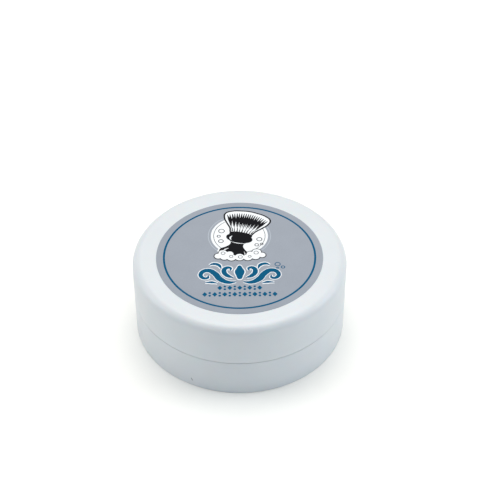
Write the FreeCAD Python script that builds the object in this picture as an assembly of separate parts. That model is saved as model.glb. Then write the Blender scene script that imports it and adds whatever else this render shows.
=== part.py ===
"""A low round shaving soap jar: double-wall base, soap, sealing disc, lined screw lid and two labels.

Millimetres, +Z up. The origin is on the table under the centre of the jar, and the label reads upright
for someone standing at -Y. The lid is screwed shut, which is the rest pose.
"""

import FreeCAD, Part
import math
import os

Vector = FreeCAD.Vector
ORIGIN = Vector(0, 0, 0)
UP = Vector(0, 0, 1)

# ---- Driving dimensions -------------------------------------------------------------------------
# Outside
outer_diameter = 85.0
base_height = 16.6
lid_height = 18.0
parting_gap = 0.15
lid_corner = 3.6
base_corner = 0.6
edge_break = 0.1

# Outer base shell
base_wall = 1.5
base_floor = 1.4
foot_ring_width = 7.0
foot_panel_depth = 0.5
floor_rib_count = 8
floor_rib_height = 0.6
floor_rib_width = 0.9
floor_rib_inner_diameter = 16.0

# Lid shell and its threaded insert
lid_wall = 1.5
lid_top = 1.5
insert_wall = 1.3
insert_top = 1.2
insert_setback = 0.5
least_inner_corner = 0.3
liner_bead_height = 0.7
liner_bead_reach = 0.5
liner_bead_gap = 0.15
liner_bead_round = 0.15

# Inner cup
cup_wall = 1.6
cup_floor = 1.4
cup_corner = 3.0
lip_round = 0.5
collar_thickness = 1.4
collar_ledge = 0.8
snap_skirt_wall = 1.05
snap_skirt_length = 4.6
skirt_round = 0.4
neck_foot_round = 0.5

# Thread between the cup's neck and the lid's insert: right-handed, with several starts
thread_lead = 12.0
thread_starts = 3
thread_height = 1.1
thread_root_width = 1.5
thread_crest_width = 0.9
thread_crest_bulge = 0.15
thread_radial_gap = 0.25
thread_flank_play = 0.15
thread_runout_angle = 24.0
thread_end_margin = 1.2
thread_end_sink = 0.02
thread_step_angle = 8.0
thread_least_steps = 12

# Snap rings and the keys that stop the inner pieces from turning
snap_bead = 0.3
snap_bead_width = 1.4
snap_bead_round = 0.3
snap_height = 1.5
key_count = 6
key_width = 2.4
key_height = 2.8
key_drop = 1.0

# Lining, sealing disc, soap and labels
liner_thickness = 1.0
disc_thickness = 0.8
disc_dish_depth = 1.2
disc_round = 0.3
plug_round = 0.6
tab_width = 12.0
tab_reach = 13.0
tab_thickness = 0.6
tab_hinge_length = 2.0
tab_gap = 0.15
soap_headroom = 4.6
soap_crown = 0.5
soap_edge_round = 1.6
label_border = 5.9
label_setoff = 1.0
base_label_border = 4.5
label_thickness = 0.12

# Roundings shared by small edges, and how far a feature reaches into the wall it grows from
small_round = 0.2
root_depth = 0.25

# Clearances
assembly_gap = 0.05
slip_gap = 0.15
collar_gap = 0.15
liner_side_gap = 0.35
disc_gap = 0.2

# Limits of the drawing helpers: the most of an edge that a fillet takes, and when two points are the same
fillet_share = 0.49
same_point = 1e-7

# ---- Radii and levels that follow from them -------------------------------------------------------
outer_r = outer_diameter / 2
base_inner_r = outer_r - base_wall
lid_inner_r = outer_r - lid_wall
insert_r = lid_inner_r - slip_gap
insert_bore_r = insert_r - insert_wall
neck_r = insert_bore_r - thread_radial_gap - thread_height
cup_bore_r = neck_r - cup_wall
collar_r = outer_r - collar_ledge - collar_gap
foot_panel_r = outer_r - foot_ring_width
label_r = outer_r - lid_corner - label_border
base_label_r = foot_panel_r - base_label_border
lid_inner_corner = max(lid_corner - lid_wall, least_inner_corner)

skirt_z = base_height + parting_gap
lid_top_z = skirt_z + lid_height
insert_top_z = lid_top_z - lid_top - assembly_gap
insert_roof_z = insert_top_z - insert_top
liner_top_z = insert_roof_z - assembly_gap
liner_z = liner_top_z - liner_thickness
disc_top_z = liner_z - assembly_gap
rim_z = disc_top_z - disc_thickness
dish_z = disc_top_z - disc_dish_depth
plug_z = dish_z - disc_thickness
insert_z = skirt_z + insert_setback
liner_bead_z = liner_z - liner_bead_gap - liner_bead_height

base_floor_z = foot_panel_depth + base_floor
cup_underside_z = base_floor_z + floor_rib_height
cup_floor_z = cup_underside_z + cup_floor
collar_z = base_height - collar_thickness
snap_skirt_z = collar_z - snap_skirt_length
snap_skirt_r = base_inner_r - slip_gap
soap_top_z = plug_z - soap_headroom
cup_key_z = snap_skirt_z - key_drop
lid_key_z = insert_top_z - lid_corner - key_height

# Thread: the lid's ridges hang just under the cup's ridges, so that tightening pulls the lid down
ridge_flank_share = (thread_height - thread_radial_gap) / thread_height
ridge_width_at_mate = thread_crest_width + (thread_root_width - thread_crest_width) * ridge_flank_share
ridge_offset = (ridge_width_at_mate + thread_crest_width) / 2 + thread_flank_play
neck_thread_z = base_height + thread_end_margin + thread_root_width / 2
neck_thread_rise = rim_z - thread_end_margin - thread_root_width / 2 - neck_thread_z
insert_thread_z = insert_z + thread_end_margin + thread_root_width / 2
insert_thread_rise = liner_bead_z - thread_end_margin - thread_root_width / 2 - insert_thread_z


# ---- Helpers --------------------------------------------------------------------------------------
def rounded_corner(before, corner, after, fillet):
    """The start, middle and end of a corner's arc. All three are the corner itself where it stays sharp."""
    to_before = before - corner
    to_after = after - corner
    half_angle = to_before.getAngle(to_after) / 2
    longest = fillet_share * min(to_before.Length, to_after.Length) * math.tan(half_angle)
    radius = min(fillet, longest)
    if radius <= 0:
        return corner, corner, corner
    to_before.normalize()
    to_after.normalize()
    reach = radius / math.tan(half_angle)
    inward = (to_before + to_after).normalize()
    middle = corner + inward * (radius / math.sin(half_angle) - radius)
    return corner + to_before * reach, middle, corner + to_after * reach


def outline(corners):
    """A closed wire in the XZ half-plane from (radius, height) or (radius, height, fillet) corners."""
    points = [Vector(c[0], 0, c[1]) for c in corners]
    arcs = []
    for i, corner in enumerate(corners):
        fillet = corner[2] if len(corner) > 2 else 0.0
        arcs.append(rounded_corner(points[i - 1], points[i], points[(i + 1) % len(points)], fillet))
    edges = []
    for i, (start, middle, end) in enumerate(arcs):
        if not start.isEqual(end, same_point):
            edges.append(Part.Arc(start, middle, end).toShape())
        following = arcs[(i + 1) % len(arcs)][0]
        if not end.isEqual(following, same_point):
            edges.append(Part.LineSegment(end, following).toShape())
    return Part.Wire(edges)


def turned(corners):
    """The solid that an outline sweeps in a full turn round Z."""
    return Part.Face(outline(corners)).revolve(ORIGIN, UP, 360)


def drum(radius, low_z, high_z):
    return Part.makeCylinder(radius, high_z - low_z, Vector(0, 0, low_z))


def block(near_r, far_r, width, low_z, high_z):
    """A block along +X, centred on the X axis, from one radius to another."""
    return Part.makeBox(far_r - near_r, width, high_z - low_z, Vector(near_r, -width / 2, low_z))


def round_the_axis(shape, count):
    """Copies of a shape at even turns round Z."""
    copies = []
    for i in range(count):
        copy = shape.copy()
        copy.rotate(ORIGIN, UP, 360.0 * i / count)
        copies.append(copy)
    return copies


def ridge_profile(radius, angle, height, side):
    """The thread's section at a point of its path. side is 1 for a ridge that faces outwards, -1 inwards."""
    flare = (thread_root_width - thread_crest_width) / 2 / thread_height
    half_root = thread_root_width / 2 + flare * root_depth
    half_crest = thread_crest_width / 2
    foot_r = radius - side * root_depth
    shoulder_r = radius + side * (thread_height - thread_crest_bulge)
    crest_r = radius + side * thread_height
    lower_foot = Vector(foot_r, 0, height - half_root)
    upper_foot = Vector(foot_r, 0, height + half_root)
    lower_shoulder = Vector(shoulder_r, 0, height - half_crest)
    upper_shoulder = Vector(shoulder_r, 0, height + half_crest)
    crest = Vector(crest_r, 0, height)
    wire = Part.Wire([
        Part.LineSegment(lower_foot, lower_shoulder).toShape(),
        Part.Arc(lower_shoulder, crest, upper_shoulder).toShape(),
        Part.LineSegment(upper_shoulder, upper_foot).toShape(),
        Part.LineSegment(upper_foot, lower_foot).toShape(),
    ])
    wire.rotate(ORIGIN, UP, math.degrees(angle))
    return wire


def thread_path(root_r, low_z, rise, side, first_angle):
    """Points along a helix that sinks into the wall at both ends."""
    turn = 2 * math.pi * rise / thread_lead
    runout = min(math.radians(thread_runout_angle), turn / 3)
    steps = max(thread_least_steps, math.ceil(turn / math.radians(thread_step_angle)))
    points = []
    for i in range(steps + 1):
        along = turn * i / steps
        from_end = min(1.0, min(along, turn - along) / runout)
        shown = from_end * from_end * (3 - 2 * from_end)
        radius = root_r - side * (thread_height + thread_end_sink) * (1 - shown)
        angle = first_angle + along
        height = low_z + thread_lead * along / (2 * math.pi)
        points.append(Vector(radius * math.cos(angle), radius * math.sin(angle), height))
    return points


def thread_ridge(root_r, low_z, rise, side, first_angle):
    """One helical ridge that sinks into its wall at both ends."""
    curve = Part.BSplineCurve()
    curve.interpolate(thread_path(root_r, low_z, rise, side, first_angle))
    start_r = root_r - side * (thread_height + thread_end_sink)
    pipe = Part.BRepOffsetAPI.MakePipeShell(Part.Wire([curve.toShape()]))
    pipe.setBiNormalMode(UP)
    pipe.add(ridge_profile(start_r, first_angle, low_z, side), False, False)
    pipe.build()
    pipe.makeSolid()
    return pipe.shape()


def thread_ridges(root_r, low_z, rise, side, first_angle):
    first = thread_ridge(root_r, low_z, rise, side, first_angle)
    return round_the_axis(first, thread_starts)


def snap_ring(wall_r, depth, middle_z, extra=0.0):
    """A ring of triangular section that stands out of a cylinder, or, as a cutter, a groove in one."""
    half = snap_bead_width / 2 + extra
    inside_r = wall_r - root_depth
    return turned([
        (inside_r, middle_z - half),
        (wall_r, middle_z - half),
        (wall_r + depth, middle_z, snap_bead_round),
        (wall_r, middle_z + half),
        (inside_r, middle_z + half),
    ])


# ---- Base -----------------------------------------------------------------------------------------
def make_base_shell():
    rebate_r = collar_r + collar_gap
    shell = turned([
        (0, foot_panel_depth),
        (foot_panel_r, foot_panel_depth, small_round),
        (foot_panel_r + foot_panel_depth, 0, small_round),
        (outer_r, 0, base_corner),
        (outer_r, base_height, edge_break),
        (rebate_r, base_height, edge_break / 2),
        (rebate_r, collar_z),
        (base_inner_r, collar_z),
        (base_inner_r, base_floor_z, base_corner),
        (0, base_floor_z),
    ])
    groove_z = snap_skirt_z + snap_height
    shell = shell.cut(snap_ring(base_inner_r, snap_bead, groove_z, slip_gap))
    # Each key fills the snap groove behind it.
    key = block(snap_skirt_r - snap_skirt_wall, base_inner_r + snap_bead + slip_gap, key_width,
                cup_key_z, cup_key_z + key_height)
    rib_outer_r = cup_bore_r - cup_corner
    rib = block(floor_rib_inner_diameter / 2, rib_outer_r, floor_rib_width,
                base_floor_z - root_depth, cup_underside_z)
    ribs = round_the_axis(rib, floor_rib_count)
    return shell.fuse(round_the_axis(key, key_count) + ribs).removeSplitter()


def make_inner_cup():
    floor_corner = cup_corner + cup_wall
    cup = turned([
        (0, cup_underside_z),
        (neck_r, cup_underside_z, floor_corner),
        (neck_r, collar_z, skirt_round),
        (snap_skirt_r - snap_skirt_wall, collar_z, skirt_round),
        (snap_skirt_r - snap_skirt_wall, snap_skirt_z, small_round),
        (snap_skirt_r, snap_skirt_z, skirt_round),
        (snap_skirt_r, collar_z),
        (collar_r, collar_z, small_round),
        (collar_r, base_height, edge_break),
        (neck_r, base_height, neck_foot_round),
        (neck_r, rim_z, lip_round),
        (cup_bore_r, rim_z, lip_round),
        (cup_bore_r, cup_floor_z, cup_corner),
        (0, cup_floor_z),
    ])
    bead = snap_ring(snap_skirt_r, snap_bead, snap_skirt_z + snap_height)
    ridges = thread_ridges(neck_r, neck_thread_z, neck_thread_rise, 1, 0.0)
    cup = cup.fuse([bead] + ridges)
    notch = block(snap_skirt_r - snap_skirt_wall - skirt_round, outer_r, key_width + 2 * slip_gap,
                  cup_key_z, cup_key_z + key_height + slip_gap)
    bore = drum(cup_bore_r, cup_floor_z + cup_corner, rim_z - lip_round)
    return cup.cut(round_the_axis(notch, key_count) + [bore])


def make_soap_puck():
    radius = cup_bore_r - slip_gap
    floor_z = cup_floor_z + assembly_gap
    edge_z = soap_top_z - soap_crown
    puck = turned([
        (0, floor_z),
        (radius, floor_z, cup_corner),
        (radius, edge_z, soap_edge_round),
        (0, edge_z),
    ])
    crown_r = radius - soap_edge_round
    ball_r = (crown_r ** 2 + soap_crown ** 2) / (2 * soap_crown)
    ball = Part.makeSphere(ball_r, Vector(0, 0, soap_top_z - ball_r))
    crown = ball.common(drum(crown_r, edge_z - root_depth, soap_top_z + soap_crown))
    return puck.fuse(crown)


def make_base_label():
    return drum(base_label_r, foot_panel_depth - label_thickness, foot_panel_depth)


# ---- Sealing disc and liner -----------------------------------------------------------------------
def make_sealing_disc():
    """A dished disc that plugs the bore, with a pull tab folded flat in the dish."""
    flange_r = neck_r - disc_gap
    plug_r = cup_bore_r - disc_gap
    disc = turned([
        (0, plug_z),
        (plug_r, plug_z, plug_round),
        (plug_r, rim_z),
        (flange_r, rim_z),
        (flange_r, disc_top_z, disc_round),
        (plug_r - disc_thickness, disc_top_z, disc_round),
        (plug_r - disc_thickness, dish_z, disc_round),
        (0, dish_z),
    ])
    tab_top_z = disc_top_z - tab_gap
    half = tab_width / 2
    straight = tab_reach - half
    tab = block(0, straight, tab_width, tab_top_z - tab_thickness, tab_top_z)
    tip = drum(half, tab_top_z - tab_thickness, tab_top_z)
    tip.translate(Vector(straight, 0, 0))
    hinge = block(0, tab_hinge_length, tab_width, dish_z - tab_gap, tab_top_z)
    tab = tab.fuse([tip, hinge]).removeSplitter()
    tab.translate(Vector(-tab_reach / 2, 0, 0))
    return disc.fuse(tab)


def make_liner_wad():
    return drum(insert_bore_r - liner_side_gap, liner_z, liner_top_z)


# ---- Lid ------------------------------------------------------------------------------------------
def make_lid_shell():
    inner_top_z = lid_top_z - lid_top
    shell = turned([
        (0, inner_top_z),
        (lid_inner_r, inner_top_z, lid_inner_corner),
        (lid_inner_r, skirt_z, edge_break),
        (outer_r, skirt_z, edge_break),
        (outer_r, lid_top_z, lid_corner),
        (0, lid_top_z),
    ])
    groove = snap_ring(insert_r, snap_bead + slip_gap, insert_z + snap_height, slip_gap)
    shell = shell.cut(groove)
    key = block(insert_r - insert_wall / 2, lid_inner_r + root_depth, key_width,
                lid_key_z, lid_key_z + key_height)
    return shell.fuse(round_the_axis(key, key_count)).removeSplitter()


def make_lid_insert():
    bead_bore_r = insert_bore_r - liner_side_gap - liner_bead_reach
    insert = turned([
        (0, insert_roof_z),
        (insert_bore_r, insert_roof_z, small_round),
        (insert_bore_r, liner_bead_z + liner_bead_height),
        (bead_bore_r, liner_bead_z + liner_bead_height / 2, liner_bead_round),
        (insert_bore_r, liner_bead_z),
        (insert_bore_r, insert_z, edge_break),
        (insert_r, insert_z, edge_break),
        (insert_r, insert_top_z, lid_inner_corner + slip_gap),
        (0, insert_top_z),
    ])
    bead = snap_ring(insert_r, snap_bead, insert_z + snap_height)
    # The lid's ridges share the cup's helix, moved down to hang below its ridges.
    first_angle = 2 * math.pi * (insert_thread_z + ridge_offset - neck_thread_z) / thread_lead
    ridges = thread_ridges(insert_bore_r, insert_thread_z, insert_thread_rise, -1, first_angle)
    insert = insert.fuse([bead] + ridges)
    notch = block(insert_r - insert_wall / 2 - slip_gap, outer_r, key_width + 2 * slip_gap,
                  lid_key_z - slip_gap, lid_key_z + key_height + slip_gap)
    return insert.cut(round_the_axis(notch, key_count))


def make_top_label():
    label = drum(label_r, lid_top_z, lid_top_z + label_thickness)
    label.translate(Vector(0, -label_setoff, 0))
    return label


# ---- Build ----------------------------------------------------------------------------------------
PIECES = {
    "base_shell": make_base_shell,
    "inner_cup": make_inner_cup,
    "soap_puck": make_soap_puck,
    "base_label": make_base_label,
    "sealing_disc": make_sealing_disc,
    "liner_wad": make_liner_wad,
    "lid_insert": make_lid_insert,
    "lid_shell": make_lid_shell,
    "top_label": make_top_label,
}


def main():
    os.makedirs("parts", exist_ok=True)
    for name, make in PIECES.items():
        shape = make()
        if not shape.isValid() or not shape.Solids:
            raise RuntimeError(f"{name} isn't a valid solid")
        shape.exportStep(f"parts/{name}.step")
        print(f"{name}: {len(shape.Solids)} solid, {shape.Volume / 1000:.2f} ml")


main()
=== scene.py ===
# %% [markdown]
# # A jar of shaving soap
# This lesson dresses a finished CAD model of a low, white, screw-top soap jar. The CAD model says where
# every part is and how it moves. Here each part gets a smooth surface, a finish and its print.
#
# Everything is in metres, with the jar standing on the origin, so two small helpers turn millimetres into
# metres and back.

import math

import bmesh
import bpy
from mathutils import Matrix, Vector


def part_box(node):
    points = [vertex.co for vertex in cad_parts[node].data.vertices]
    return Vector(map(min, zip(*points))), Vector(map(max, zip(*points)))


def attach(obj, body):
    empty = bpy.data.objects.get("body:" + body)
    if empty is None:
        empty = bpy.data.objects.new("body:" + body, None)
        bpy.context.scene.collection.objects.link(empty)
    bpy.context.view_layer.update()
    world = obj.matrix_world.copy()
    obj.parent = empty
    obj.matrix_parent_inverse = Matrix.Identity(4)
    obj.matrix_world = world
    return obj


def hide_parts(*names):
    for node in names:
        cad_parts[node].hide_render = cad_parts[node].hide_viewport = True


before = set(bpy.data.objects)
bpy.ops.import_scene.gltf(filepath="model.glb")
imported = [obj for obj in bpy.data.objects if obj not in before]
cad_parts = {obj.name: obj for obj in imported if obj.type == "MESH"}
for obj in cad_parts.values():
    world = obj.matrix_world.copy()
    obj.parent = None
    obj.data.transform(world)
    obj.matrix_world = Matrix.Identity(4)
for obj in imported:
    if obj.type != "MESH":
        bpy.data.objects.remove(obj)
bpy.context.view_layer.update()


def mm(value):
    """Millimetres to metres."""
    return value * 0.001


def in_mm(value):
    """Metres to millimetres."""
    return value * 1000


for name in sorted(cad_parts):
    low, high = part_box(name)
    width = in_mm(high.x - low.x)
    print(f"{name}: {width:.1f} mm wide, from {in_mm(low.z):.2f} to {in_mm(high.z):.2f} mm high")

# %% [markdown]
# ## Turned shapes
# Nearly every piece of a jar is round, so one helper does most of the modelling. It draws half of the
# section as a chain of edges, rounds the corners that need it with a vertex bevel, and spins the chain
# through a full circle. Spinning is better here than stacking cylinders: the wall, the lip and the
# fillets come out as one closed skin. Edges sharper than a set angle are marked, so that flats stay flat
# and fillets stay smooth.

# %% Turn a section into a closed piece
SHARP_ANGLE = math.radians(32)
ROUND_STEPS = 192
FILLET_STEPS = 6
SAME_POINT = 0.0005
SAME_LEVEL = 0.001


def mark_sharp_edges(mesh):
    for face in mesh.faces:
        face.smooth = True
    for edge in mesh.edges:
        edge.smooth = edge.calc_face_angle(0) < SHARP_ANGLE


def turned(corners, steps=ROUND_STEPS, fillet_steps=FILLET_STEPS):
    """A bmesh from (radius, height) or (radius, height, fillet) corners in mm. A ring closes up."""
    mesh = bmesh.new()
    points = [mesh.verts.new((mm(c[0]), 0, mm(c[1]))) for c in corners]
    ends_on_axis = corners[0][0] == 0 and corners[-1][0] == 0
    for start, end in zip(points, points[1:]):
        mesh.edges.new((start, end))
    if not ends_on_axis:
        mesh.edges.new((points[-1], points[0]))
    for point, corner in zip(points, corners):
        if len(corner) > 2:
            bmesh.ops.bevel(mesh, geom=[point], offset=mm(corner[2]), offset_type="OFFSET",
                            affect="VERTICES", segments=fillet_steps, profile=0.5, material=-1)
    bmesh.ops.spin(mesh, geom=mesh.verts[:] + mesh.edges[:], cent=(0, 0, 0), axis=(0, 0, 1),
                   angle=2 * math.pi, steps=steps, use_merge=True)
    bmesh.ops.remove_doubles(mesh, verts=mesh.verts, dist=mm(SAME_POINT))
    bmesh.ops.recalc_face_normals(mesh, faces=mesh.faces)
    return mesh


def add_piece(name, mesh, body, replaces=()):
    """Makes an object of a bmesh, puts it on the body it rides on and hides the CAD nodes it stands for."""
    mark_sharp_edges(mesh)
    open_edges = sum(1 for edge in mesh.edges if not edge.is_manifold)
    data = bpy.data.meshes.new(name)
    mesh.to_mesh(data)
    mesh.free()
    piece = bpy.data.objects.new(name, data)
    bpy.context.scene.collection.objects.link(piece)
    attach(piece, body)
    if replaces:
        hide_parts(*replaces)
    print(f"{name}: {len(data.polygons)} faces, {open_edges} open edges")
    return piece


def node_span(node):
    """A round CAD node's radius, lowest and highest levels, in mm."""
    low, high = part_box(node)
    return in_mm(high.x - low.x) / 2, in_mm(low.z), in_mm(high.z)


def shift(mesh, x=0.0, y=0.0, z=0.0):
    """Moves a bmesh by millimetres."""
    bmesh.ops.translate(mesh, verts=mesh.verts, vec=(mm(x), mm(y), mm(z)))
    return mesh


# %% [markdown]
# ## The outside shells
# The lid and the base are two white shells of the same width that meet at a thin parting line. The lid's
# top edge is generously rounded and the foot is nearly crisp. Both are open inside, because the threaded
# parts are separate mouldings, so each section goes up the inside as well as the outside.

# %% Lid shell
LID_WALL = 1.5
LID_TOP_ROUND = 3.6
LID_FILLET_STEPS = 10
EDGE_BREAK = 0.1

outer_r, skirt_z, lid_top_z = node_span("lid_shell")
lid_ceiling_z = lid_top_z - LID_WALL
lid_shell = add_piece("lid_outer_shell", turned([
    (0, lid_ceiling_z),
    (outer_r - LID_WALL, lid_ceiling_z, LID_TOP_ROUND - LID_WALL),
    (outer_r - LID_WALL, skirt_z, EDGE_BREAK),
    (outer_r, skirt_z, EDGE_BREAK),
    (outer_r, lid_top_z, LID_TOP_ROUND),
    (0, lid_top_z),
], fillet_steps=LID_FILLET_STEPS), "lid", ["lid_shell"])

# %% Base shell
BASE_WALL = 1.5
BASE_FLOOR = 1.4
BASE_CORNER = 0.6
FOOT_RING = 7.0
PANEL_DEPTH = 0.5
PANEL_ROUND = 0.2
COLLAR_STEP = 0.8
COLLAR_DEPTH = 1.4

_, foot_z, shoulder_z = node_span("base_shell")
panel_r = outer_r - FOOT_RING
base_shell = add_piece("base_outer_shell", turned([
    (0, PANEL_DEPTH),
    (panel_r, PANEL_DEPTH, PANEL_ROUND),
    (panel_r + PANEL_DEPTH, foot_z, PANEL_ROUND),
    (outer_r, foot_z, BASE_CORNER),
    (outer_r, shoulder_z, EDGE_BREAK),
    (outer_r - COLLAR_STEP, shoulder_z),
    (outer_r - COLLAR_STEP, shoulder_z - COLLAR_DEPTH),
    (outer_r - BASE_WALL, shoulder_z - COLLAR_DEPTH),
    (outer_r - BASE_WALL, PANEL_DEPTH + BASE_FLOOR, BASE_CORNER),
    (0, PANEL_DEPTH + BASE_FLOOR),
]), "jar", ["base_shell"])

# %% [markdown]
# ## The screw thread
# A thread ridge is a small trapezoid swept along a helix. The spin operator can climb as it turns, so
# each short step spins the last section a few degrees and lifts it by the same share of the lead. Near
# both ends the section also moves into the wall, as the real ridge does where it runs out.

# %% Thread ridges
THREAD_LEAD = 12.0
THREAD_STARTS = 3
THREAD_HEIGHT = 1.1
THREAD_ROOT = 1.5
THREAD_CREST = 0.9
THREAD_RUNOUT = math.radians(24)
THREAD_STEP = math.radians(3)
ROOT_DEPTH = 0.2


def run_out(along, turn):
    """How far the ridge stands out, from 0 at its ends to 1."""
    share = min(1.0, min(along, turn - along) / THREAD_RUNOUT)
    return share * share * (3 - 2 * share)


def thread_ridge(root_r, low_z, rise, side, first_angle):
    """A ridge on a wall of radius root_r. side is 1 where it faces outwards and -1 inwards."""
    turn = 2 * math.pi * rise / THREAD_LEAD
    steps = round(turn / THREAD_STEP)
    mesh = bmesh.new()
    half_root, half_crest = THREAD_ROOT / 2, THREAD_CREST / 2
    sunk_r = root_r - side * THREAD_HEIGHT
    section = [(-ROOT_DEPTH, -half_root), (THREAD_HEIGHT, -half_crest), (THREAD_HEIGHT, half_crest),
               (-ROOT_DEPTH, half_root)]
    ring = [mesh.verts.new((mm(sunk_r + side * out), 0, mm(low_z + up))) for out, up in section]
    edges = [mesh.edges.new((ring[i - 1], ring[i])) for i in range(len(ring))]
    bmesh.ops.rotate(mesh, verts=ring, cent=(0, 0, 0), matrix=Matrix.Rotation(first_angle, 3, "Z"))
    geometry = ring + edges
    shown = 0.0
    for i in range(1, steps + 1):
        last = bmesh.ops.spin(mesh, geom=geometry, cent=(0, 0, 0), axis=(0, 0, 1), angle=turn / steps,
                              dvec=(0, 0, mm(rise / steps)), steps=1)["geom_last"]
        wanted = run_out(turn * i / steps, turn)
        angle = first_angle + turn * i / steps
        outwards = Vector((math.cos(angle), math.sin(angle), 0)) * side
        moved = [v for v in last if isinstance(v, bmesh.types.BMVert)]
        bmesh.ops.translate(mesh, verts=moved, vec=outwards * mm(THREAD_HEIGHT) * (wanted - shown))
        geometry, shown = last, wanted
    bmesh.ops.holes_fill(mesh, edges=[e for e in mesh.edges if e.is_boundary])
    bmesh.ops.recalc_face_normals(mesh, faces=mesh.faces)
    return mesh


def merge(target, other, turn=0.0):
    """Adds a copy of another bmesh to a bmesh, turned round the jar's axis."""
    data = bpy.data.meshes.new("part")
    other.to_mesh(data)
    data.transform(Matrix.Rotation(turn, 4, "Z"))
    target.from_mesh(data)
    bpy.data.meshes.remove(data)


def add_threads(target, ridge):
    for i in range(THREAD_STARTS):
        merge(target, ridge, 2 * math.pi * i / THREAD_STARTS)
    ridge.free()


# %% [markdown]
# ## The inner cup and the lid's insert
# The cup holds the soap and carries the outside thread on its neck. Its collar sits on the base shell.
# The insert is the cup's partner in the lid: a shallow cap with the inside thread and a small bead that
# keeps the foam liner in place. The jar only shows them when it is open, but then they are all that one
# looks at.

# %% Inner cup
CUP_WALL = 1.6
CUP_FLOOR = 1.4
CUP_CORNER = 3.0
INSERT_WALL = 1.3
THREAD_GAP = 0.25
SLIP_GAP = 0.15
SKIRT_WALL = 1.05
SKIRT_LENGTH = 4.6
SKIRT_ROUND = 0.4
COLLAR_ROUND = 0.2
NECK_FOOT_ROUND = 0.5
LIP_ROUND = 0.5
THREAD_MARGIN = 1.2

insert_r, insert_z, insert_top_z = node_span("lid_insert")
collar_r, cup_low_z, rim_z = node_span("inner_cup")
insert_bore_r = insert_r - INSERT_WALL
neck_r = insert_bore_r - THREAD_GAP - THREAD_HEIGHT
cup_bore_r = neck_r - CUP_WALL
collar_z = shoulder_z - COLLAR_DEPTH
skirt_r = outer_r - BASE_WALL - SLIP_GAP
cup_floor_z = cup_low_z + CUP_FLOOR

cup = turned([
    (0, cup_low_z),
    (neck_r, cup_low_z, CUP_CORNER + CUP_WALL),
    (neck_r, collar_z, SKIRT_ROUND),
    (skirt_r - SKIRT_WALL, collar_z, SKIRT_ROUND),
    (skirt_r - SKIRT_WALL, collar_z - SKIRT_LENGTH, COLLAR_ROUND),
    (skirt_r, collar_z - SKIRT_LENGTH, SKIRT_ROUND),
    (skirt_r, collar_z),
    (collar_r, collar_z, COLLAR_ROUND),
    (collar_r, shoulder_z, EDGE_BREAK),
    (neck_r, shoulder_z, NECK_FOOT_ROUND),
    (neck_r, rim_z, LIP_ROUND),
    (cup_bore_r, rim_z, LIP_ROUND),
    (cup_bore_r, cup_floor_z, CUP_CORNER),
    (0, cup_floor_z),
])
neck_thread_z = shoulder_z + THREAD_MARGIN + THREAD_ROOT / 2
neck_rise = rim_z - THREAD_MARGIN - THREAD_ROOT / 2 - neck_thread_z
add_threads(cup, thread_ridge(neck_r, neck_thread_z, neck_rise, 1, 0.0))
inner_cup = add_piece("threaded_cup", cup, "jar", ["inner_cup"])

# %% Lid insert
INSERT_ROOF = 1.2
ROOF_ROUND = 0.2
LINER_BEAD = 0.7
LINER_BEAD_REACH = 0.5
LINER_BEAD_ROUND = 0.15
LINER_BEAD_GAP = 0.15
LINER_SIDE_GAP = 0.35
THREAD_PLAY = 0.15

liner_r, liner_z, liner_top_z = node_span("liner_wad")
roof_z = insert_top_z - INSERT_ROOF
bead_z = liner_z - LINER_BEAD_GAP - LINER_BEAD
insert = turned([
    (0, roof_z),
    (insert_bore_r, roof_z, ROOF_ROUND),
    (insert_bore_r, bead_z + LINER_BEAD),
    (insert_bore_r - LINER_SIDE_GAP - LINER_BEAD_REACH, bead_z + LINER_BEAD / 2, LINER_BEAD_ROUND),
    (insert_bore_r, bead_z),
    (insert_bore_r, insert_z, EDGE_BREAK),
    (insert_r, insert_z, EDGE_BREAK),
    (insert_r, insert_top_z, LID_TOP_ROUND - LID_WALL),
    (0, insert_top_z),
])
insert_thread_z = insert_z + THREAD_MARGIN + THREAD_ROOT / 2
insert_rise = bead_z - THREAD_MARGIN - THREAD_ROOT / 2 - insert_thread_z
width_at_mate = THREAD_CREST + (THREAD_ROOT - THREAD_CREST) * (THREAD_HEIGHT - THREAD_GAP) / THREAD_HEIGHT
hang = (width_at_mate + THREAD_CREST) / 2 + THREAD_PLAY
mate_angle = 2 * math.pi * (insert_thread_z + hang - neck_thread_z) / THREAD_LEAD
add_threads(insert, thread_ridge(insert_bore_r, insert_thread_z, insert_rise, -1, mate_angle))
lid_insert = add_piece("threaded_insert", insert, "lid", ["lid_insert"])

# %% [markdown]
# ## Soap, liner and sealing disc
# The soap is poured hot, so it fills the cup to its wall and sets with a slight crown. The liner is a
# plain disc of foam. The sealing disc is a thin dished moulding that plugs the mouth, with a pull tab
# that lies flat in the dish: a rounded tongue, made from a circle and a block of faces, with its edges
# bevelled.

# %% Soap
SOAP_CROWN = 0.5
SOAP_EDGE = 1.6
SOAP_EDGE_ROUND = 1.55
CROWN_STEPS = 8

soap_r, soap_z, soap_top_z = node_span("soap_puck")
soap_edge_z = soap_top_z - SOAP_CROWN
crown_r = soap_r - SOAP_EDGE
crown = [(crown_r * i / CROWN_STEPS, soap_top_z - SOAP_CROWN * (i / CROWN_STEPS) ** 2)
         for i in range(CROWN_STEPS, -1, -1)]
soap = add_piece("soap_cake", turned([
    (0, soap_z),
    (soap_r, soap_z, CUP_CORNER),
    (soap_r, soap_edge_z, SOAP_EDGE_ROUND),
    *crown,
]), "jar", ["soap_puck"])

# %% Liner
FOAM_ROUND = 0.12

liner = add_piece("foam_liner", turned([
    (0, liner_z),
    (liner_r, liner_z, FOAM_ROUND),
    (liner_r, liner_top_z, FOAM_ROUND),
    (0, liner_top_z),
]), "liner", ["liner_wad"])

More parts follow.
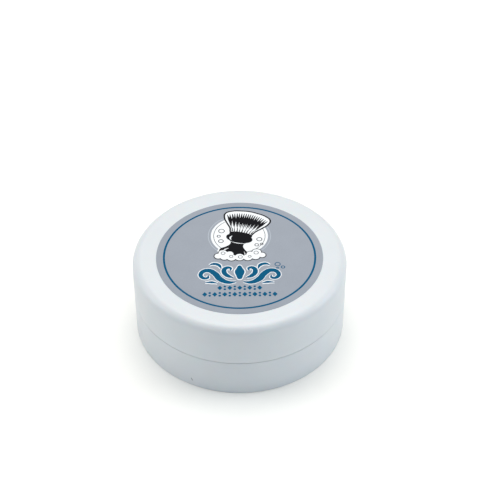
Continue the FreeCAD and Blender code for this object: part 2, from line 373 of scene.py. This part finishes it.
# %% Sealing disc
DISC_WALL = 0.8
DISH_DEPTH = 1.2
DISC_GAP = 0.2
DISC_ROUND = 0.3
PLUG_ROUND = 0.6
TAB_WIDTH = 12.0
TAB_REACH = 13.0
TAB_THICKNESS = 0.6
TAB_ROUND = 0.15
TAB_GAP = 0.15
HINGE_LENGTH = 2.0
HINGE_INSET = 0.05
HINGE_DROP = 0.1
HINGE_ROUND = 0.02

disc_r, plug_z, disc_top_z = node_span("sealing_disc")
plug_r = cup_bore_r - DISC_GAP
dish_z = disc_top_z - DISH_DEPTH


def slab(outline, low_z, high_z, edge_round):
    """A flat-sided solid over an outline in mm, with its rims rounded."""
    mesh = bmesh.new()
    face = mesh.faces.new([mesh.verts.new((mm(x), mm(y), mm(low_z))) for x, y in outline])
    top = bmesh.ops.extrude_face_region(mesh, geom=[face])["geom"]
    bmesh.ops.translate(mesh, verts=[v for v in top if isinstance(v, bmesh.types.BMVert)],
                        vec=(0, 0, mm(high_z - low_z)))
    bmesh.ops.recalc_face_normals(mesh, faces=mesh.faces)
    rims = [e for e in mesh.edges if abs(e.verts[0].co.z - e.verts[1].co.z) < mm(SAME_LEVEL)]
    bmesh.ops.bevel(mesh, geom=rims, offset=mm(edge_round), offset_type="OFFSET", affect="EDGES",
                    segments=2, profile=0.5, material=-1)
    return mesh


def tongue_outline(steps=24):
    """Straight at the hinge and half round at the tip."""
    half = TAB_WIDTH / 2
    bend_x = TAB_REACH / 2 - half
    tip = [(bend_x + half * math.cos(a), half * math.sin(a))
           for a in (math.pi * (i / steps - 0.5) for i in range(steps + 1))]
    return [(-TAB_REACH / 2, -half), *tip, (-TAB_REACH / 2, half)]


disc = turned([
    (0, plug_z),
    (plug_r, plug_z, PLUG_ROUND),
    (plug_r, rim_z),
    (disc_r, rim_z),
    (disc_r, disc_top_z, DISC_ROUND),
    (plug_r - DISC_WALL, disc_top_z, DISC_ROUND),
    (plug_r - DISC_WALL, dish_z, DISC_ROUND),
    (0, dish_z),
])
tab_top_z = disc_top_z - TAB_GAP
hinge_x = HINGE_INSET - TAB_REACH / 2
hinge_y = TAB_WIDTH / 2 - HINGE_INSET
hinge_outline = [(hinge_x, -hinge_y), (hinge_x + HINGE_LENGTH, -hinge_y), (hinge_x + HINGE_LENGTH, hinge_y),
                 (hinge_x, hinge_y)]
tab = slab(tongue_outline(), tab_top_z - TAB_THICKNESS, tab_top_z, TAB_ROUND)
hinge = slab(hinge_outline, dish_z - TAB_GAP, tab_top_z - HINGE_DROP, HINGE_ROUND)
for mesh in (tab, hinge):
    merge(disc, mesh)
    mesh.free()
sealing_disc = add_piece("sealing_lid_disc", disc, "seal", ["sealing_disc"])

# %% [markdown]
# ## The labels
# A label is a very thin disc with a soft cut edge. The lid's label has a thin blue line near its rim. Ink
# has a thickness too, a few hundredths of a millimetre, so each colour of the print is its own thin
# layer. That keeps every edge crisp however close one looks.

# %% Label discs
LABEL_ROUND = 0.04
LABEL_ROUND_STEPS = 2

label_r, label_z, label_top_z = node_span("top_label")
label_y = in_mm(sum(corner.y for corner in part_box("top_label"))) / 2
label_disc = turned([
    (0, label_z),
    (label_r, label_z),
    (label_r, label_top_z, LABEL_ROUND),
    (0, label_top_z),
], fillet_steps=LABEL_ROUND_STEPS)
top_label = add_piece("lid_label", shift(label_disc, y=label_y), "lid", ["top_label"])
print(f"the label sits {-label_y:.1f} mm towards the front")

base_label_r, base_label_z, base_label_top_z = node_span("base_label")
base_label = add_piece("underside_label", turned([
    (0, base_label_z),
    (base_label_r, base_label_z, LABEL_ROUND),
    (base_label_r, base_label_top_z),
    (0, base_label_top_z),
], fillet_steps=LABEL_ROUND_STEPS), "jar", ["base_label"])

# %% [markdown]
# ## Ink helpers
# Print is drawn with curves: a closed curve fills an area, and a curve with a round bevel whose radius
# changes along it gives the swelling line of a pen. Both are turned into meshes and then pressed flat
# between two levels, counted in layers above the label. Where the meshes of one colour overlap, each is a
# hair higher than the one before, so no two faces lie in the same place.

# %% Flatten curves into ink layers
INK_LAYER = 0.012
INK_SINK = 0.008
LAYER_STEP = 0.1
DRAWN_HALF = 0.5
SAME_INK_POINT = 0.002
GROUND_LAYER = 1
LINE_LAYER = 2
SCROLL_LAYER = 2.5
LIGHT_LAYER = 3
DARK_LAYER = 4
GLEAM_LAYER = 5
LATHER_EDGE_LAYER = 6
LATHER_LAYER = 8
CURL_LAYER = 10


def pressed(mesh, layer):
    """Flattens a bmesh to one ink layer. Layer 1 lies on the label, and each layer sinks into the last."""
    low = mm(label_top_z + INK_LAYER * (layer - 1) - INK_SINK)
    high = mm(label_top_z + INK_LAYER * layer)
    for vert in mesh.verts:
        vert.co.z = high if vert.co.z > mm(SAME_LEVEL) else low
    bmesh.ops.recalc_face_normals(mesh, faces=mesh.faces)
    return mesh


def from_curve(curve):
    """The mesh of a curve, as a bmesh."""
    holder = bpy.data.objects.new("drawing", curve)
    data = bpy.data.meshes.new_from_object(holder)
    mesh = bmesh.new()
    mesh.from_mesh(data)
    bmesh.ops.remove_doubles(mesh, verts=mesh.verts, dist=mm(SAME_INK_POINT))
    bpy.data.objects.remove(holder)
    bpy.data.meshes.remove(data)
    return mesh


def bezier_points(curve, points, closed):
    """A smooth spline through (x, y) or (x, y, radius) points in mm."""
    spline = curve.splines.new("BEZIER")
    spline.bezier_points.add(len(points) - 1)
    for target, point in zip(spline.bezier_points, points):
        target.co = (mm(point[0]), mm(point[1]), 0)
        target.handle_left_type = target.handle_right_type = "AUTO"
        target.radius = point[2] if len(point) > 2 else 1.0
    spline.use_cyclic_u = closed


def pen_lines(lines, widen=0.0):
    """Lines of (x, y, half width) points in mm."""
    curve = bpy.data.curves.new("pen", "CURVE")
    curve.dimensions = "3D"
    curve.bevel_depth = mm(1.0)
    curve.bevel_resolution = 2
    curve.resolution_u = 8
    curve.use_fill_caps = True
    for line in lines:
        bezier_points(curve, [(x, y, half + widen) for x, y, half in line], False)
    return from_curve(curve)


def filled(outline):
    """The area inside a smooth closed outline of (x, y) points in mm."""
    curve = bpy.data.curves.new("area", "CURVE")
    curve.dimensions = "2D"
    curve.fill_mode = "BOTH"
    curve.extrude = mm(DRAWN_HALF)
    curve.resolution_u = 8
    bezier_points(curve, outline, True)
    return from_curve(curve)


def flat_ring(inner_r, outer_ring_r, centre=(0, 0), steps=96):
    """A ring, or a disc where the inner radius is 0."""
    section = [(inner_r, -DRAWN_HALF), (outer_ring_r, -DRAWN_HALF),
               (outer_ring_r, DRAWN_HALF), (inner_r, DRAWN_HALF)]
    return shift(turned(section, steps), *centre)


def add_ink(name, meshes, layer):
    """Joins the meshes of one colour, each a hair above the last, and puts them on the lid's label."""
    joined = bmesh.new()
    for i, mesh in enumerate(meshes):
        merge(joined, pressed(mesh, layer + LAYER_STEP * i))
        mesh.free()
    return add_piece(name, shift(joined, y=label_y), "lid")


# %% [markdown]
# ## The lid's print
# The print is a plain design of its own: a medallion with a shaving brush standing in lather, a pair of
# mirrored leaf scrolls under it, and rows of small marks where a printed label has its small lines. The
# medallion is white with a fine dark ring, the brush is drawn in black, and the scrolls are blue with a
# white edge.

# %% Border line and medallion
BORDER_SHARE = 0.918
BORDER_WIDTH = 0.80
MEDALLION = (0.0, 12.0)
MEDALLION_R = 11.5
HALO_R = (MEDALLION_R + 0.9, MEDALLION_R + 1.15)
RING_R = (MEDALLION_R - 1.25, MEDALLION_R - 1.05)

border_r = label_r * BORDER_SHARE
border_line = flat_ring(border_r - BORDER_WIDTH, border_r, steps=ROUND_STEPS)
border_ink = add_ink("label_border_line", [border_line], GROUND_LAYER)
medallion_ink = add_ink("medallion_white", [flat_ring(0, MEDALLION_R, MEDALLION)], GROUND_LAYER)
halo_ink = add_ink("medallion_halo", [flat_ring(*HALO_R, MEDALLION)], GROUND_LAYER)
ring_ink = add_ink("medallion_ring", [flat_ring(*RING_R, MEDALLION)], LINE_LAYER)

# %% Brush
BRUSH_LEAN = math.radians(-15)
BRUSH_FOOT = (-3.0, -0.6)
PEN = 0.34
HAIR_COUNT = 19
ROOT_COUNT = 9
STROKE_STAGGER = 1.1
STROKE_BOW = 0.6
HANDLE_EDGE_WIDER = 1.10
HANDLE_EDGE_TALLER = 1.03
HANDLE_EDGE_DROP = 0.4


def brush_place(mesh):
    """Leans the brush, drawn upright with its foot at the origin, and sets it in the medallion."""
    bmesh.ops.rotate(mesh, verts=mesh.verts, cent=(0, 0, 0), matrix=Matrix.Rotation(BRUSH_LEAN, 3, "Z"))
    return shift(mesh, *BRUSH_FOOT)


def both_sides(half_outline):
    """A whole outline from its right half, listed from the bottom up."""
    return half_outline + [(-x, y) for x, y in reversed(half_outline) if x > 0]


def pen_round(outline):
    """A pen line all the way round an outline."""
    return [(x, y, PEN) for x, y in outline + outline[:1]]


handle = both_sides([(3.6, 0.4), (5.6, 1.6), (5.8, 3.4), (4.0, 5.2), (2.7, 7.2), (3.0, 8.8), (4.9, 10.2),
                     (5.4, 11.6), (4.6, 12.9)])
handle_edge = [(x * HANDLE_EDGE_WIDER, y * HANDLE_EDGE_TALLER - HANDLE_EDGE_DROP) for x, y in handle]
collar = both_sides([(4.4, 12.7), (4.7, 13.6), (4.4, 14.5)])
hair_body = both_sides([(4.2, 14.2), (5.2, 16.6), (7.4, 19.6), (9.2, 22.6), (9.4, 25.2), (7.0, 27.2),
                        (3.4, 28.2), (0.0, 28.6)])


def fan(count, low_y, high_y, spread, widths, droop):
    """Tapered strokes that fan out side by side. Every other one starts a little lower."""
    lines = []
    for i in range(count):
        share = 2 * i / (count - 1) - 1
        start = (share * spread[0], low_y - STROKE_STAGGER * (i % 2), widths[0])
        end = (share * spread[1], high_y - droop * share * share, widths[2])
        middle = ((start[0] + end[0]) / 2, (start[1] + end[1]) / 2 + STROKE_BOW, widths[1])
        lines.append([start, middle, end])
    return lines


dark_band = fan(HAIR_COUNT, 18.0, 27.0, (5.4, 8.5), (0.05, 0.58, 0.14), 2.6)
hair_roots = fan(ROOT_COUNT, 15.0, 17.8, (3.9, 5.0), (0.30, 0.16, 0.04), 0.3)
gleams = [
    [(-3.3, 1.5, 0.10), (-4.0, 2.9, 0.42), (-2.7, 4.6, 0.12)],
    [(-2.9, 9.6, 0.10), (-3.6, 10.9, 0.40), (-3.2, 12.2, 0.12)],
    [(4.1, 1.4, 0.06), (4.6, 2.6, 0.20), (3.9, 4.0, 0.06)],
    [(-3.9, 8.9, 0.06), (0.0, 8.4, 0.20), (3.9, 8.9, 0.06)],
]
light_shapes = [filled(hair_body), filled(handle_edge)]
dark_shapes = [filled(collar), filled(handle), pen_lines([pen_round(hair_body)]),
               pen_lines(dark_band + hair_roots)]
brush_light = add_ink("brush_white_ink", [brush_place(mesh) for mesh in light_shapes], LIGHT_LAYER)
brush_dark = add_ink("brush_black_ink", [brush_place(mesh) for mesh in dark_shapes], DARK_LAYER)
brush_gleam = add_ink("brush_gleam", [brush_place(pen_lines([line])) for line in gleams], GLEAM_LAYER)

# %% Lather and bubbles
LATHER = [(-8.4, -0.3, 1.5), (-6.0, -0.9, 1.6), (-3.2, -1.2, 1.8), (0.0, -1.0, 1.9), (3.3, -1.1, 1.8),
          (6.3, -0.6, 1.7), (8.9, 0.2, 1.4), (-6.6, 1.5, 1.7), (-3.9, 0.9, 1.5), (6.8, 1.9, 1.8),
          (4.2, 0.9, 1.4)]
BUBBLES = [(-7.2, 15.0, 1.3), (-8.3, 11.8, 0.8), (-7.4, 8.8, 1.1), (8.0, 9.8, 1.2), (8.9, 6.9, 0.7),
           (6.9, 6.4, 0.9)]
CURLS = [(-6.5, 1.4, 0.9), (-3.3, -0.6, 0.8), (0.3, -0.9, 0.9), (6.6, 1.6, 1.0), (4.0, -0.6, 0.7)]
SMALL_BUBBLES = [(14.9, -5.2, 1.20), (17.0, -6.9, 0.85), (14.8, -7.4, 0.55)]
LATHER_STEPS = 32


def discs(circles, widen=0.0):
    """A disc for each (x, y, radius)."""
    return [flat_ring(0, r + widen, (x, y), LATHER_STEPS) for x, y, r in circles]


def rings(circles, width, steps=24):
    """A thin ring for each (x, y, radius)."""
    return [flat_ring(r - width, r, (x, y), steps) for x, y, r in circles]


lather_edge = add_ink("lather_black_ink", discs(LATHER, PEN), LATHER_EDGE_LAYER)
lather_ink = add_ink("lather_white_ink", discs(LATHER), LATHER_LAYER)
curl_ink = add_ink("lather_curls", rings(CURLS, 0.22), CURL_LAYER)
bubble_ink = add_ink("bubble_rings", rings(BUBBLES, 0.3), LINE_LAYER)

# %% Leaf scrolls
EDGE_WIDTH = 0.42
DROP_EDGE_WIDER = 1.22
DROP_EDGE_TALLER = 1.12
DROP_MIDDLE_Y = -9.8
CENTRE_DROP = [(0.0, -13.8), (1.5, -11.2), (1.9, -9.4), (1.2, -7.5), (0.0, -5.8), (-1.2, -7.5), (-1.9, -9.4),
               (-1.5, -11.2)]
LEAVES = [
    [(1.4, -15.2, 0.30), (4.4, -15.5, 0.95), (7.6, -13.6, 1.30), (9.7, -10.4, 1.25), (12.4, -8.6, 1.10),
     (14.9, -10.0, 0.95), (14.6, -12.6, 0.80), (12.5, -12.9, 0.60), (12.2, -11.5, 0.25)],
    [(2.6, -12.8, 0.30), (4.6, -11.8, 0.95), (6.1, -9.5, 1.05), (5.4, -7.3, 0.90), (3.6, -7.3, 0.60),
     (3.7, -8.8, 0.25)],
    [(7.2, -7.6, 0.20), (8.1, -5.6, 0.75), (10.2, -4.8, 0.70), (11.9, -5.6, 0.20)],
    [(8.6, -16.0, 0.20), (10.8, -15.4, 0.65), (13.4, -15.6, 0.20)],
]


def both_leaves(widen):
    """One mesh for each leaf line and for its mirror image."""
    meshes = []
    for line in LEAVES:
        meshes.append(pen_lines([line], widen))
        meshes.append(pen_lines([[(-x, y, half) for x, y, half in line]], widen))
    return meshes


drop_edge = [(x * DROP_EDGE_WIDER, (y - DROP_MIDDLE_Y) * DROP_EDGE_TALLER + DROP_MIDDLE_Y)
             for x, y in CENTRE_DROP]
scroll_edge = add_ink("scroll_white_edge", both_leaves(EDGE_WIDTH) + [filled(drop_edge)], GROUND_LAYER)
scroll_ink = add_ink("scroll_blue_ink", both_leaves(0.0) + [filled(CENTRE_DROP)], SCROLL_LAYER)

# %% Rows of small marks
MARK_ROWS = [(-18.6, 9), (-22.2, 15)]
MARK_PITCH = 1.92
MARK_HALF_WIDTH = 1.0
MARK_HALF_HEIGHT = 1.25
MARK_ROUND = 0.02
DOT_R = 0.50
DOT_STEPS = 16


def lozenge(x, y):
    corners = [(x - MARK_HALF_WIDTH, y), (x, y - MARK_HALF_HEIGHT),
               (x + MARK_HALF_WIDTH, y), (x, y + MARK_HALF_HEIGHT)]
    return [slab(corners, -DRAWN_HALF, DRAWN_HALF, MARK_ROUND)]


def two_dots(x, y):
    return [flat_ring(0, DOT_R, (x, y + side * (MARK_HALF_HEIGHT - DOT_R)), DOT_STEPS) for side in (-1, 1)]


def mark_row(y, count):
    """Lozenges and pairs of dots by turns, centred on the label."""
    marks = []
    for i in range(count):
        shape = lozenge if i % 2 == 0 else two_dots
        marks += shape((i - (count - 1) / 2) * MARK_PITCH, y)
    return marks


row_ink = add_ink("row_marks", [mark for y, count in MARK_ROWS for mark in mark_row(y, count)], GROUND_LAYER)
small_ink = add_ink("small_blue_bubbles", rings(SMALL_BUBBLES, 0.34, 20), GROUND_LAYER)

# %% [markdown]
# ## Shader maths
# Finishes are patterns worked out from each point's place on the piece. Wiring maths nodes by hand is
# slow to read, so a value wraps a socket and adds its nodes when it is used in a Python expression. Every
# other node comes from one method that takes the node's type, its settings and what its sockets get.

# %% Values and finishes
class Value:
    """A shader value. Sums, products and powers of it add Math nodes to its finish."""

    def __init__(self, finish, socket):
        self.finish = finish
        self.socket = socket

    def maths(self, operation, *operands):
        return self.finish.node("Math", {"operation": operation}, dict(enumerate(operands)))

    def __add__(self, other):
        return self.maths("ADD", self, other)

    def __sub__(self, other):
        return self.maths("SUBTRACT", self, other)

    def __rsub__(self, other):
        return self.maths("SUBTRACT", other, self)

    def __mul__(self, other):
        return self.maths("MULTIPLY", self, other)

    def __truediv__(self, other):
        return self.maths("DIVIDE", self, other)

    def __rtruediv__(self, other):
        return self.maths("DIVIDE", other, self)

    def __pow__(self, other):
        return self.maths("POWER", self, other)

    def __mod__(self, other):
        return self.maths("FLOORED_MODULO", self, other)

    __radd__ = __add__
    __rmul__ = __mul__

    def sine(self):
        return self.maths("SINE", self)

    def floor(self):
        return self.maths("FLOOR", self)

    def over(self, low, high):
        """0 below low, 1 above high and a smooth step between. It falls where high is the lower one."""
        settings = {"interpolation_type": "SMOOTHSTEP"}
        return self.finish.node("MapRange", settings, {"Value": self, "From Min": low, "From Max": high})


class Finish:
    """A material with a Principled shader, and the methods that build its patterns."""

    def __init__(self, name, colour, roughness, **constants):
        self.material = bpy.data.materials.new(name)
        self.material.use_nodes = True
        self.tree = self.material.node_tree
        self.shader = self.tree.nodes["Principled BSDF"]
        self.shader.inputs["Base Color"].default_value = (*colour, 1.0)
        self.shader.inputs["Roughness"].default_value = roughness
        for socket, value in constants.items():
            self.shader.inputs[socket.replace("_", " ")].default_value = value
        self.place = self.node("TexCoord", output="Object")

    def node(self, kind, settings=None, inputs=None, output=0):
        """Adds a node, sets it up, feeds its sockets and returns one of its outputs."""
        made = self.tree.nodes.new("ShaderNode" + kind)
        for name, value in (settings or {}).items():
            setattr(made, name, value)
        for name, value in (inputs or {}).items():
            self.feed(made.inputs[name], value)
        return Value(self, made.outputs[output])

    def feed(self, socket, value):
        if isinstance(value, Value):
            self.tree.links.new(value.socket, socket)
        else:
            socket.default_value = value

    def set(self, socket, value):
        self.feed(self.shader.inputs[socket], value)

    def noise(self, size, detail=2.0):
        """Soft noise from 0 to 1 whose blobs are about size mm across."""
        inputs = {"Vector": self.place, "Scale": 1 / mm(size), "Detail": detail}
        return self.node("TexNoise", None, inputs)

    def cells(self, size):
        """The distance to the nearest of many points about size mm apart, from 0 to about 1."""
        return self.node("TexVoronoi", None, {"Vector": self.place, "Scale": 1 / mm(size)})

    def axes(self):
        """The point's x, y and z in mm."""
        split = self.node("SeparateXYZ", None, {"Vector": self.place})
        outputs = split.socket.node.outputs
        return [in_mm(Value(self, outputs[i])) for i in range(3)]

    def mix(self, factor, low, high):
        """A colour between two colours."""
        inputs = {"Factor": factor, 6: colour_value(low), 7: colour_value(high)}
        return self.node("Mix", {"data_type": "RGBA"}, inputs, output=2)

    def bump(self, height, depth, strength=1.0):
        """Feeds the shader's Normal from a height of 0 to 1 that stands for depth mm."""
        inputs = {"Height": height, "Distance": mm(depth), "Strength": strength}
        self.set("Normal", self.node("Bump", None, inputs))


def colour_value(colour):
    return colour if isinstance(colour, Value) else (*colour, 1.0)


def shade(finish, *pieces):
    for piece in pieces:
        piece.data.materials.clear()
        piece.data.materials.append(finish.material)
    print(f"{finish.material.name}: {len(finish.tree.nodes)} nodes on {len(pieces)} pieces")


# %% [markdown]
# ## White plastic
# The jar is satin white polypropylene, slightly blue. A flat white would look like paper. What makes it
# plastic is a very fine moulded grain, a gloss that is a little uneven where hands have rubbed it, and
# light that sinks in before it comes back out. The base has one small nick low on its side, as handled
# jars do.

# %% White shells
def white_plastic(name, colour, roughness):
    """A finish and the colour for it, left unset so that more can be mixed in."""
    finish = Finish(name, colour, roughness, Subsurface_Weight=0.12, Subsurface_Scale=mm(1.5), IOR=1.49)
    cloud = finish.noise(14, 3)
    dust = finish.noise(1.3, 4)
    tone = finish.mix(cloud.over(0.35, 0.65), tuple(c * 0.985 for c in colour), colour)
    specks = finish.cells(5.5).over(0.035, 0.02) * finish.noise(9).over(0.52, 0.60)
    finish.set("Roughness", roughness + 0.07 * (cloud - 0.5) + 0.10 * (dust - 0.5))
    finish.bump(finish.noise(0.35, 3) * 0.6 + finish.noise(4.0, 1) * 0.4, 0.02, 0.5)
    return finish, finish.mix(specks * 0.25, tone, tuple(c * 0.75 for c in colour))


SHELL_WHITE = (0.715, 0.737, 0.752)
lid_finish, lid_colour = white_plastic("white_shell_plastic", SHELL_WHITE, 0.42)
lid_finish.set("Base Color", lid_colour)
shade(lid_finish, lid_shell)

# %% Base shell with its nick
NICK = (-18.95, -38.04, 3.6)

base_finish, base_colour = white_plastic("white_base_plastic", SHELL_WHITE, 0.42)
x, y, z = base_finish.axes()
aside = x - NICK[0]
above = z - NICK[2]
# The tick leans, so its length and its width are measured on the slant.
along = 0.9 * above - 0.4 * aside
across = 0.4 * above + 0.9 * aside
reach = ((along * 0.7) ** 2 + (across * 2.2) ** 2 + ((y - NICK[1]) * 0.5) ** 2) ** 0.5
nick = (reach + base_finish.noise(0.8) * 0.4).over(0.85, 0.55)
base_finish.set("Base Color", base_finish.mix(nick * 0.75, base_colour, (0.16, 0.17, 0.19)))
shade(base_finish, base_shell)

# %% Inner mouldings
INNER_WHITE = (0.83, 0.84, 0.83)
inner_finish, inner_colour = white_plastic("white_inner_plastic", INNER_WHITE, 0.33)
inner_finish.set("Base Color", inner_colour)
shade(inner_finish, inner_cup, lid_insert)

# %% [markdown]
# ## Foam, film and soap
# The liner is closed-cell foam, so its face is a field of tiny pits. The sealing disc is thin milky
# plastic that lets some light through. The soap is waxy and warm white. It was poured from a nozzle, so
# faint rings wander round its face, and the light goes a few millimetres into it.

# %% Foam
foam_finish = Finish("liner_foam", (0.86, 0.86, 0.84), 0.8, Subsurface_Weight=0.2, Subsurface_Scale=mm(1.0))
pits = foam_finish.cells(0.55)
# The pit bottoms are painted darker than the foam round them: painted shade in the pits.
foam_finish.set("Base Color", foam_finish.mix(pits.over(0.1, 0.6), (0.78, 0.78, 0.76), (0.88, 0.88, 0.86)))
foam_finish.set("Roughness", 0.72 + 0.16 * pits)
foam_finish.bump(pits, 0.12, 0.6)
shade(foam_finish, liner)

# %% Milky disc
disc_finish = Finish("milky_disc_film", (0.84, 0.86, 0.87), 0.3, IOR=1.51,
                     Subsurface_Weight=0.5, Subsurface_Scale=mm(3.0))
x, y, z = disc_finish.axes()
radius = (x ** 2 + y ** 2) ** 0.5
flow = disc_finish.noise(6, 3)
disc_finish.set("Base Color", disc_finish.mix(flow.over(0.35, 0.7), (0.79, 0.82, 0.84), (0.86, 0.88, 0.88)))
disc_finish.set("Roughness", 0.24 + 0.16 * flow)
disc_finish.bump(disc_finish.noise(0.5, 2) * 0.5 + (radius * 1.4).sine() * 0.04, 0.03, 0.6)
shade(disc_finish, sealing_disc)

# %% Soap
soap_finish = Finish("shaving_soap", (0.86, 0.83, 0.75), 0.5, IOR=1.46,
                     Subsurface_Weight=0.45, Subsurface_Scale=mm(4.0))
x, y, z = soap_finish.axes()
drift = soap_finish.noise(16, 2) * 5
radius = (x ** 2 + y ** 2) ** 0.5
angle = y.maths("ARCTAN2", y, x)
swirl = ((radius + drift + angle * 0.9) * 1.1).sine() * 0.5 + 0.5
grain = soap_finish.noise(0.7, 4)
marble = soap_finish.noise(7, 5)
soap_tone = soap_finish.mix(marble.over(0.38, 0.68), (0.80, 0.76, 0.66), (0.88, 0.855, 0.78))
soap_finish.set("Base Color", soap_finish.mix(swirl * 0.25, soap_tone, (0.90, 0.88, 0.82)))
soap_finish.set("Roughness", 0.40 + 0.22 * grain)
soap_finish.bump(swirl * 0.75 + grain * 0.25, 0.28, 0.7)
shade(soap_finish, soap)

# %% [markdown]
# ## Printed labels
# The lid's label is film with a satin face, printed grey-blue. Offset print is made of tiny dots and the
# film has a faint grain, so both show in its colour and its gloss. The inks share one recipe with their
# own colours. The label under the base is plain paper with rows of short grey marks in place of small
# print.

# %% Label film and inks
def printed(name, colour, gloss_roughness=0.45):
    finish = Finish(name, colour, gloss_roughness, Specular_IOR_Level=0.04)
    dots = finish.cells(0.32)
    cloud = finish.noise(9, 3)
    shadow = tuple(c * 0.93 for c in colour)
    cover = dots.over(0.15, 0.7) * 0.6 + cloud.over(0.3, 0.7) * 0.4
    finish.set("Base Color", finish.mix(cover, shadow, colour))
    finish.set("Roughness", gloss_roughness + 0.08 * (dots - 0.5) + 0.06 * (cloud - 0.5))
    finish.bump(finish.noise(0.25, 2), 0.006, 0.4)
    return finish


shade(printed("label_grey_blue", (0.348, 0.372, 0.418)), top_label)
shade(printed("ink_white", (0.90, 0.91, 0.92)),
      medallion_ink, brush_light, brush_gleam, lather_ink, scroll_edge)
shade(printed("ink_pale", (0.50, 0.54, 0.59)), halo_ink)
shade(printed("ink_black", (0.010, 0.010, 0.012), 0.5),
      ring_ink, brush_dark, lather_edge, curl_ink, bubble_ink)
shade(printed("ink_blue", (0.003, 0.100, 0.205), 0.5), border_ink, scroll_ink, row_ink, small_ink)

# %% Underside paper
ROW_PITCH = 2.6
ROW_OFFSET = 7.3
DASH_RATE = 0.55
BLOCK_R = 23.0

paper_finish = Finish("underside_paper", (0.80, 0.80, 0.77), 0.75)
x, y, z = paper_finish.axes()
row = y / ROW_PITCH
dash = ((x + row.floor() * ROW_OFFSET) * DASH_RATE).sine()
in_row = (row % 1.0).over(0.36, 0.40) * (row % 1.0).over(0.64, 0.60)
in_block = (x ** 2 + y ** 2 * 1.1).over(BLOCK_R ** 2, (BLOCK_R - 0.4) ** 2)
marks = in_row * dash.over(-0.55, -0.50) * in_block
fibre = paper_finish.noise(0.6, 5)
paper_tone = paper_finish.mix(fibre.over(0.3, 0.7), (0.76, 0.76, 0.73), (0.84, 0.84, 0.81))
paper_finish.set("Base Color", paper_finish.mix(marks * 0.75, paper_tone, (0.16, 0.20, 0.25)))
paper_finish.set("Roughness", 0.70 + 0.12 * fibre)
paper_finish.bump(fibre, 0.02, 0.5)
shade(paper_finish, base_label)

# %% [markdown]
# ## Floor, light and camera
# The jar stands on a white table that glows faintly, as a lit product table does, so only a soft shadow
# is left at its foot. A large light overhead keeps the top bright and the front darker. Two weaker ones
# brighten the sides, and a faint blue one cools the front wall, as window light would. The camera looks
# down from the front with a long lens, so the circle of the lid stays even.

# %% Floor
FLOOR_SIZE = 6.0
floor_mesh = bmesh.new()
bmesh.ops.create_grid(floor_mesh, x_segments=2, y_segments=2, size=FLOOR_SIZE)
floor_data = bpy.data.meshes.new("floor")
floor_mesh.to_mesh(floor_data)
floor_mesh.free()
floor = bpy.data.objects.new("floor", floor_data)
bpy.context.scene.collection.objects.link(floor)
floor_finish = Finish("white_floor", (0.94, 0.925, 0.89), 0.9, Emission_Color=(1.0, 0.99, 0.95, 1.0),
                      Emission_Strength=0.08)
floor_finish.set("Roughness", 0.85 + 0.1 * floor_finish.noise(40))
floor.data.materials.append(floor_finish.material)


# %% Lights
LIGHT_TARGET = Vector((0, 0, mm(20)))


def soft_light(name, size, watts, place, colour=(1.0, 1.0, 1.0)):
    """A round lamp that faces the jar."""
    light = bpy.data.lights.new(name, "AREA")
    light.shape = "DISK"
    light.size = size
    light.energy = watts
    light.color = colour
    lamp = bpy.data.objects.new(name, light)
    lamp.location = place
    lamp.rotation_euler = (LIGHT_TARGET - Vector(place)).to_track_quat("-Z", "Y").to_euler()
    bpy.context.scene.collection.objects.link(lamp)


WARM = (1.0, 0.98, 0.95)
COOL = (0.84, 0.93, 1.0)
COLD = (0.42, 0.70, 1.0)
soft_light("overhead", 1.2, 12.7, (0.0, 0.20, 1.1), WARM)
soft_light("right_fill", 0.5, 2.0, (0.75, 0.05, 0.36), COOL)
soft_light("left_fill", 0.5, 1.8, (-0.75, 0.05, 0.36), COOL)
soft_light("front_fill", 0.6, 1.0, (0.3, -0.9, 0.20), COLD)
world = bpy.data.worlds.new("studio")
world.use_nodes = True
sky = world.node_tree.nodes["Background"].inputs
sky["Color"].default_value = (0.80, 0.90, 1.0, 1.0)
sky["Strength"].default_value = 0.17
bpy.context.scene.world = world
bpy.context.scene.view_settings.view_transform = "Standard"

# %% Camera
ELEVATION = math.radians(41.6)
DISTANCE_IN_RADII = 12
SENSOR = 36.0
ROLL = math.radians(-0.45)
LENS = 96.6
SHIFT = (0.0010, 0.0295)

distance = mm(outer_r) * DISTANCE_IN_RADII
aim = Vector((0, 0, mm(lid_top_z)))
camera_data = bpy.data.cameras.new("camera")
camera_data.lens = LENS
camera_data.sensor_width = SENSOR
camera_data.shift_x, camera_data.shift_y = SHIFT
camera = bpy.data.objects.new("camera", camera_data)
camera.location = aim + distance * Vector((0, -math.cos(ELEVATION), math.sin(ELEVATION)))
look = (aim - camera.location).to_track_quat("-Z", "Y")
camera.rotation_euler = (look.to_matrix() @ Matrix.Rotation(ROLL, 3, "Z")).to_euler()
bpy.context.scene.collection.objects.link(camera)
bpy.context.scene.camera = camera
print(f"camera {in_mm(distance):.0f} mm away, {math.degrees(ELEVATION):.1f} degrees up")
